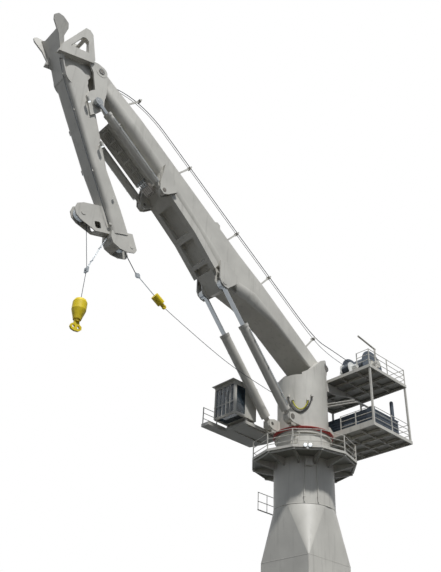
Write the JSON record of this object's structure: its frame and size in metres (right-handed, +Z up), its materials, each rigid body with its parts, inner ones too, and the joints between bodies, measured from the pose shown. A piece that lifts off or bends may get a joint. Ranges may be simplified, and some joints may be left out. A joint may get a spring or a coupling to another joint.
{
  "type": "offshore knuckle boom crane",
  "caption": "Offshore knuckle boom crane on a square-to-round pedestal with a walkway, luffing boom, folding jib, hydraulic cylinders, winches, machinery decks and a cabin.",
  "frame": {"origin": "middle of the pedestal's base, on the slewing axis", "axes": "+Z up along the slewing axis, +X the way the boom points, +Y the crane's left side"},
  "size_m": [27.8877, 8.1, 29.2242],
  "materials": {
    "grey_paint": "satin",
    "gear_steel": "machined",
    "red_paint": "satin",
    "white_paint": "satin",
    "blue_grey_paint": "satin",
    "rod_chrome": "polished",
    "cabin_glass": "polished",
    "hose_rubber": "matt",
    "wire_rope": "greased",
    "rigging_steel": "dull",
    "yellow_paint": "satin"
  },
  "bodies": {
    "pedestal": {"pedestal_trunk": "grey_paint", "pedestal_tube": "grey_paint", "pedestal_fittings": "grey_paint", "side_platform": "grey_paint", "walkway_deck": "grey_paint", "walkway_railing": "grey_paint", "walkway_ladder": "grey_paint", "slew_bearing": "gear_steel"},
    "column": {"slew_ring_turning": "red_paint", "slew_drives": "blue_grey_paint", "column_shell": "grey_paint", "cylinder_feet": "grey_paint", "column_pins": "gear_steel", "hose_blocks": "grey_paint", "column_hoses": "hose_rubber", "machinery_decks": "grey_paint", "deck_railings": "grey_paint", "power_pack": "blue_grey_paint", "deck_cabinets": "blue_grey_paint", "deck_pipes": "grey_paint", "main_winch_frame": "grey_paint", "whip_winch_frame": "white_paint", "cabin_platform": "grey_paint", "cabin_shell": "grey_paint", "cabin_glass": "cabin_glass", "cabin_guard": "grey_paint", "door_hinges": "grey_paint", "tag_line": "wire_rope"},
    "boom": {"boom_hull": "grey_paint", "boom_pins": "gear_steel", "boom_tray": "grey_paint", "rope_guides": "grey_paint", "boom_main_rope": "wire_rope", "boom_whip_rope": "wire_rope"},
    "jib": {"jib_frame": "grey_paint", "whip_bracket": "grey_paint", "tip_house": "grey_paint", "jib_fittings": "grey_paint", "jib_rope": "wire_rope", "whip_rope": "wire_rope", "whip_strop": "rigging_steel", "main_rope": "wire_rope", "main_hook_link": "rigging_steel"},
    "luff_barrel_pair": {"luff_barrels": "grey_paint"},
    "luff_rod_pair": {"luff_rods": "rod_chrome"},
    "knuckle_barrel_pair": {"knuckle_barrels": "grey_paint"},
    "knuckle_rod_pair": {"knuckle_rods": "rod_chrome"},
    "main_drum": {"main_winch_drum": "blue_grey_paint"},
    "whip_drum": {"whip_winch_drum": "white_paint"},
    "whip_sheave_wheel": {"whip_sheave": "rigging_steel"},
    "tip_sheave_wheel": {"tip_sheave": "rigging_steel"},
    "pinion_left": {"slew_pinion_left": "gear_steel"},
    "pinion_right": {"slew_pinion_right": "gear_steel"},
    "door": {"cabin_door": "grey_paint"},
    "davit": {"davit_arm": "grey_paint"},
    "ball": {"whip_shackle": "rigging_steel", "ball_rope": "wire_rope", "overhaul_ball": "yellow_paint"},
    "ball_hook_end": {"ball_hook": "yellow_paint"},
    "main_hook_end": {"main_hook": "yellow_paint"}
  },
  "joints": [
    {"name": "slew", "type": "hinge", "parent": "pedestal", "child": "column", "pos_m": [0, 0, 9.06], "axis": [0, 0, 1], "continuous": true},
    {"name": "boom_luff", "type": "hinge", "parent": "column", "child": "boom", "pos_m": [-0.8, 0, 14.05], "axis": [0, -1, 0], "range_deg": [-10, 40], "deforming": ["boom_main_rope", "boom_whip_rope", "tag_line"]},
    {"name": "jib_fold", "type": "hinge", "parent": "boom", "child": "jib", "pos_m": [18.7, 0, 26.65], "axis": [0, -1, 0], "range_deg": [-5, 70]},
    {"name": "luff_barrel_pivot", "type": "hinge", "parent": "column", "child": "luff_barrel_pair", "pos_m": [2.15, 0, 9.75], "axis": [0, -1, 0], "range_deg": [-8, 31]},
    {"name": "luff_rod_slide", "type": "slide", "parent": "luff_barrel_pair", "child": "luff_rod_pair", "axis": [0.6663, 0, 0.7457], "range_m": [-0.79, 3.14]},
    {"name": "knuckle_barrel_pivot", "type": "hinge", "parent": "boom", "child": "knuckle_barrel_pair", "pos_m": [13.3641, 0, 20.32095], "axis": [0, -1, 0], "range_deg": [-0.6, 0.2]},
    {"name": "knuckle_rod_slide", "type": "slide", "parent": "knuckle_barrel_pair", "child": "knuckle_rod_pair", "axis": [0.8292, 0, 0.5589], "range_m": [-0.24, 3.23]},
    {"name": "main_drum_spin", "type": "hinge", "parent": "column", "child": "main_drum", "pos_m": [-4, 1.9, 15], "axis": [0, 1, 0], "continuous": true},
    {"name": "whip_drum_spin", "type": "hinge", "parent": "column", "child": "whip_drum", "pos_m": [-1.95, 2.25, 14.11], "axis": [0, 1, 0], "continuous": true},
    {"name": "whip_sheave_spin", "type": "hinge", "parent": "jib", "child": "whip_sheave_wheel", "pos_m": [17.75896, 0, 16.34275], "axis": [0, 1, 0], "continuous": true},
    {"name": "tip_sheave_spin", "type": "hinge", "parent": "jib", "child": "tip_sheave_wheel", "pos_m": [15.0815, 0, 15.77238], "axis": [0, 1, 0], "continuous": true},
    {"name": "pinion_left_spin", "type": "hinge", "parent": "column", "child": "pinion_left", "pos_m": [-0.79196, 0.79196, 9.06], "axis": [0, 0, 1], "continuous": true},
    {"name": "pinion_right_spin", "type": "hinge", "parent": "column", "child": "pinion_right", "pos_m": [-0.79196, -0.79196, 9.06], "axis": [0, 0, 1], "continuous": true},
    {"name": "cabin_door_swing", "type": "hinge", "parent": "column", "child": "door", "pos_m": [2.876, -2.944, 10], "axis": [0, 0, 1], "range_deg": [0, 95]},
    {"name": "davit_turn", "type": "hinge", "parent": "column", "child": "davit", "pos_m": [-2.65, 3.95, 14], "axis": [0, 0, 1], "range_deg": [-60, 150]},
    {"name": "ball_swing", "type": "hinge", "parent": "jib", "child": "ball", "pos_m": [16.8, 0, 13.25], "axis": [0, -1, 0], "range_deg": [-20, 20]},
    {"name": "ball_hook_swivel", "type": "hinge", "parent": "ball", "child": "ball_hook_end", "pos_m": [16.8, 0, 10.05], "axis": [0, 0, 1], "continuous": true},
    {"name": "main_hook_swivel", "type": "hinge", "parent": "jib", "child": "main_hook_end", "pos_m": [12.07, 0, 13.62], "axis": [0.8785, 0, 0.4777], "continuous": true}
  ],
  "couplings": [
    {"joint": "luff_barrel_pivot", "follows": "boom_luff", "ratio": 0.76331},
    {"joint": "luff_rod_slide", "follows": "boom_luff", "m_per_rad": 4.4826},
    {"joint": "knuckle_barrel_pivot", "follows": "jib_fold", "ratio": -0.00626},
    {"joint": "knuckle_rod_slide", "follows": "jib_fold", "m_per_rad": 2.6393},
    {"joint": "pinion_left_spin", "follows": "slew", "ratio": -5},
    {"joint": "pinion_right_spin", "follows": "slew", "ratio": -5}
  ]
}
